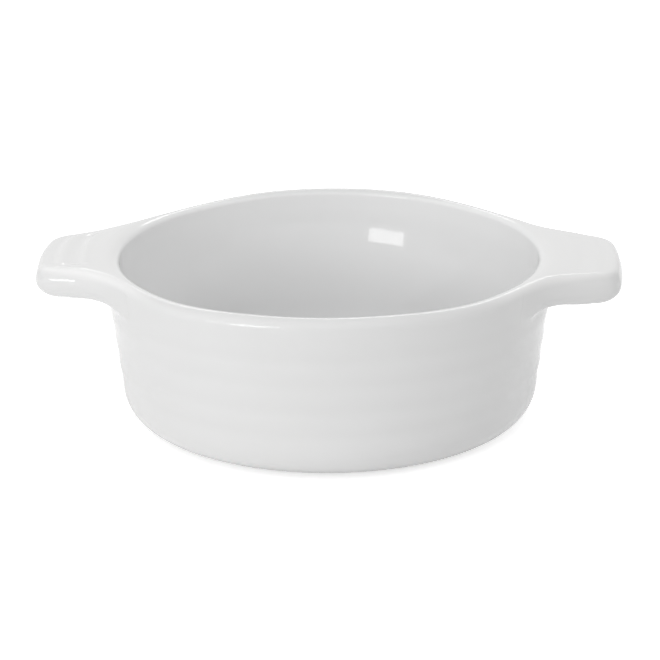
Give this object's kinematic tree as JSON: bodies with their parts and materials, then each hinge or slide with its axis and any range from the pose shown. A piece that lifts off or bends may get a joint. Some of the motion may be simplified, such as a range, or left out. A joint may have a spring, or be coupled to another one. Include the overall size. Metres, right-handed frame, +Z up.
{
  "type": "baking dish",
  "caption": "Small round porcelain baking dish with a drafted ringed wall, rounded lip, low foot ring and flat lug handles that flare out of the rim.",
  "frame": {"origin": "centre of the dish on the surface that it stands on, under the foot ring", "axes": "+Z up, X along the two handles, Y across them"},
  "size_m": [0.2, 0.154, 0.0585],
  "materials": {
    "glazed_porcelain": "clear gloss glaze over white porcelain",
    "handle_porcelain": "clear gloss glaze over white porcelain",
    "slip_porcelain": "clear gloss glaze over luting slip",
    "bare_biscuit": "bare fired porcelain, fine matte grain"
  },
  "bodies": {
    "root": {"bowl": "glazed_porcelain", "foot_ring": "bare_biscuit", "right_handle": "handle_porcelain", "right_slip_joint": "slip_porcelain", "left_handle": "handle_porcelain", "left_slip_joint": "slip_porcelain"}
  },
  "joints": []
}
